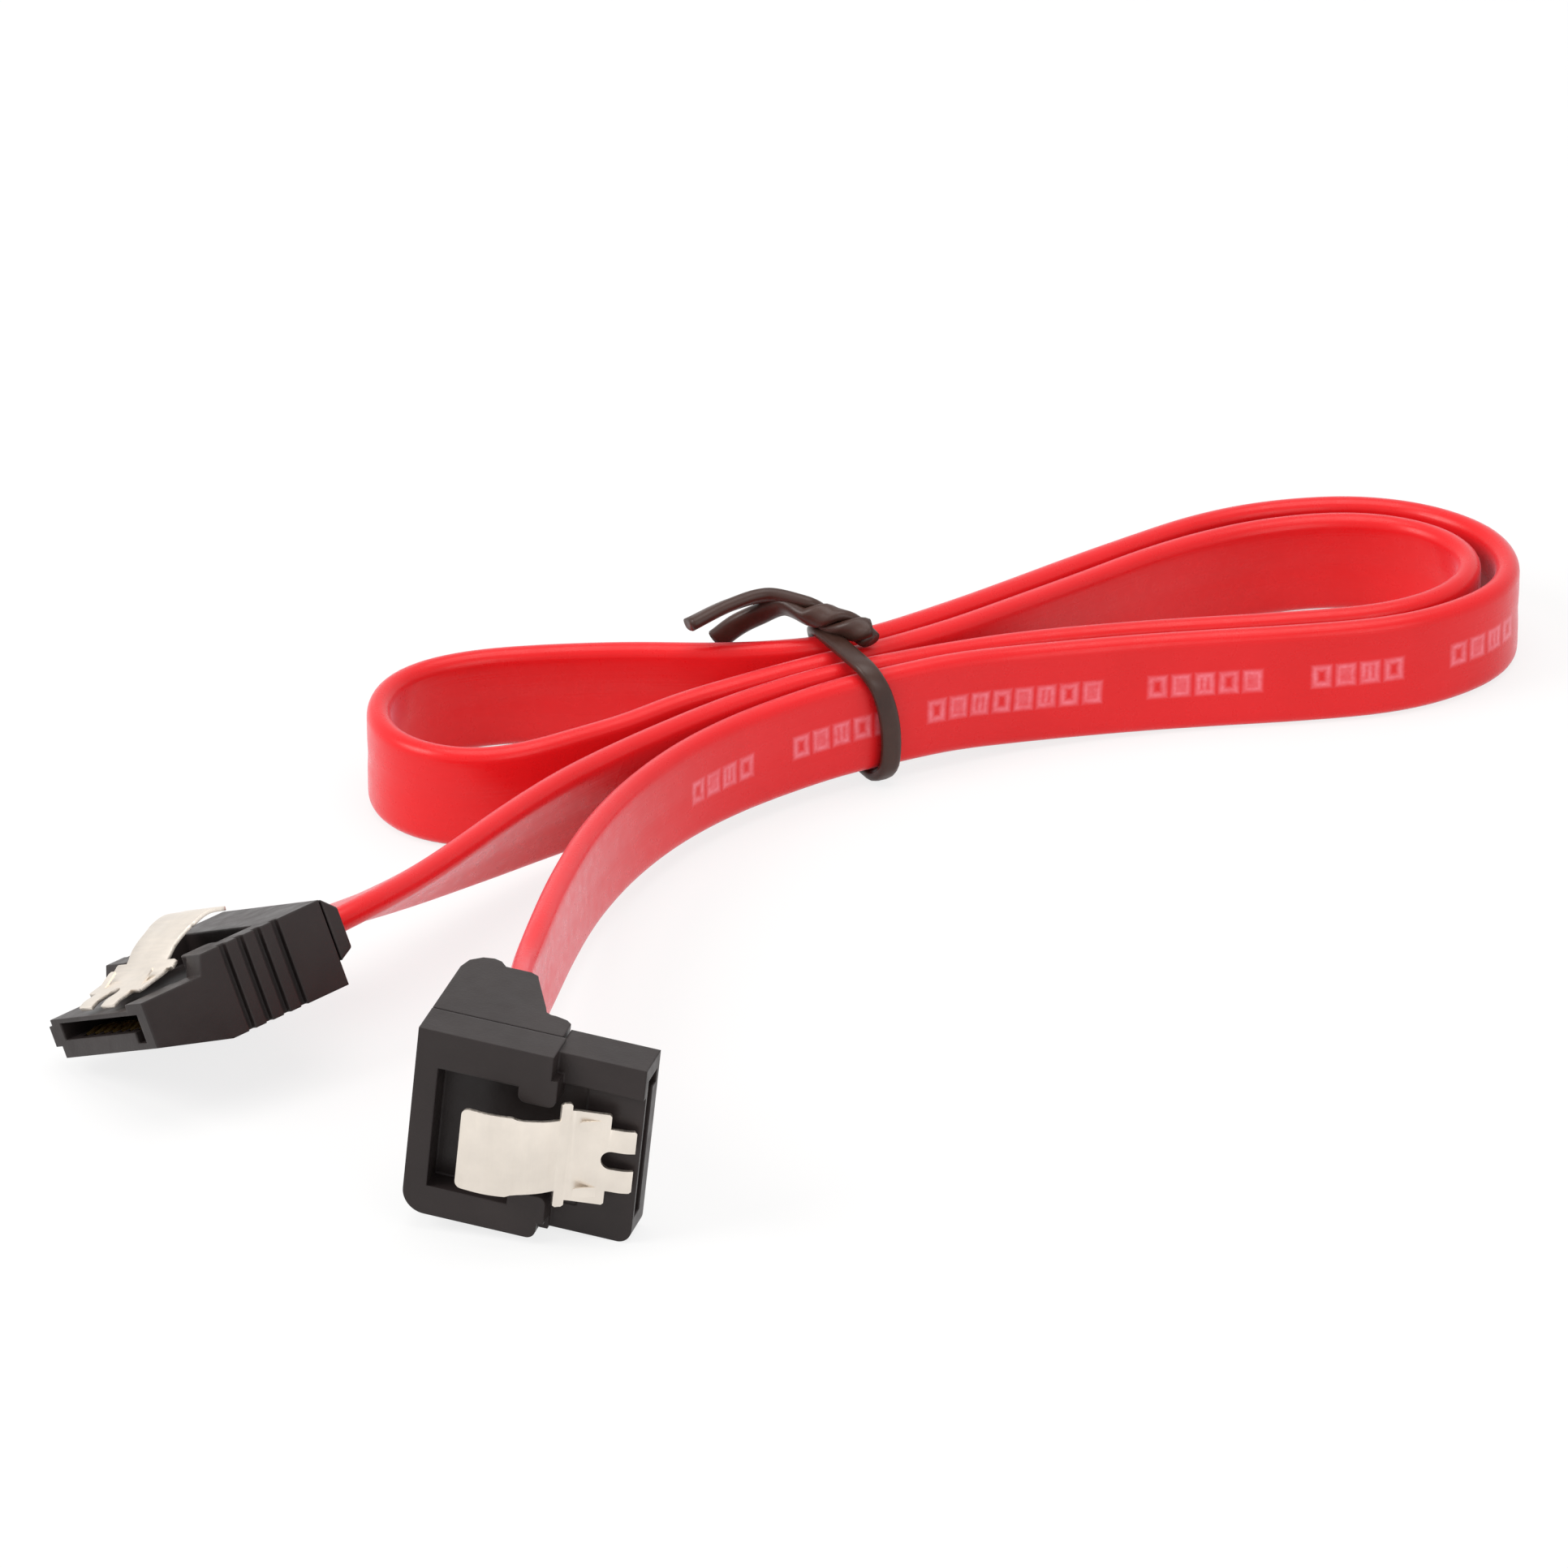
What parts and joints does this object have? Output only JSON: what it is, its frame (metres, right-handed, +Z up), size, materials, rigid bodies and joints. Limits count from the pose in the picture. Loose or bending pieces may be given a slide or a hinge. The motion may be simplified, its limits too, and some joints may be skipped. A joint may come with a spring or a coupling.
{
  "type": "sata data cable",
  "caption": "Flat red serial data cable folded into a tied hank, with a straight latching plug at one end and a right-angled latching plug at the other.",
  "frame": {"origin": "on the surface that the cable lies on, below the middle of its box", "axes": "+Z up, +X along the hank towards its double loop, -Y towards the two plugs"},
  "size_m": [0.1118, 0.1084, 0.0162],
  "materials": {
    "jacket": "satin red flexible jacket",
    "housing": "satin black moulded plastic",
    "carrier": "matte black moulded plastic",
    "contact": "bright gold plating",
    "latch_steel": "satin stamped spring steel",
    "signal_wire": "white wire insulation",
    "ground_wire": "tinned copper",
    "tie": "satin dark plastic over wire"
  },
  "bodies": {
    "cable": {"ribbon_jacket": "jacket", "twist_tie": "tie", "straight_housing": "housing", "straight_cap": "housing", "straight_contact_carrier": "carrier", "straight_contact_1": "contact", "straight_contact_2": "contact", "straight_contact_3": "contact", "straight_contact_4": "contact", "straight_contact_5": "contact", "straight_contact_6": "contact", "straight_contact_7": "contact", "straight_ground_wire_1": "ground_wire", "straight_signal_wire_2": "signal_wire", "straight_signal_wire_3": "signal_wire", "straight_ground_wire_4": "ground_wire", "straight_signal_wire_5": "signal_wire", "straight_signal_wire_6": "signal_wire", "straight_ground_wire_7": "ground_wire", "angled_housing": "housing", "angled_cover": "housing", "angled_contact_carrier": "carrier", "angled_contact_1": "contact", "angled_contact_2": "contact", "angled_contact_3": "contact", "angled_contact_4": "contact", "angled_contact_5": "contact", "angled_contact_6": "contact", "angled_contact_7": "contact", "angled_ground_wire_1": "ground_wire", "angled_signal_wire_2": "signal_wire", "angled_signal_wire_3": "signal_wire", "angled_ground_wire_4": "ground_wire", "angled_signal_wire_5": "signal_wire", "angled_signal_wire_6": "signal_wire", "angled_ground_wire_7": "ground_wire"},
    "straight_latch": {"straight_latch": "latch_steel"},
    "angled_latch": {"angled_latch": "latch_steel"}
  },
  "joints": [
    {"name": "straight_latch_press", "type": "hinge", "parent": "cable", "child": "straight_latch", "pos_m": [-0.05199, -0.03064, 0.00717], "axis": [-0.5526, 0.7066, -0.4419], "range_deg": [0, 5], "stiffness_Nm_per_rad": 0.4},
    {"name": "angled_latch_press", "type": "hinge", "parent": "cable", "child": "angled_latch", "pos_m": [-0.01261, -0.05323, 0.00756], "axis": [-0.1024, 0.009, -0.9947], "range_deg": [0, 5], "stiffness_Nm_per_rad": 0.4}
  ]
}
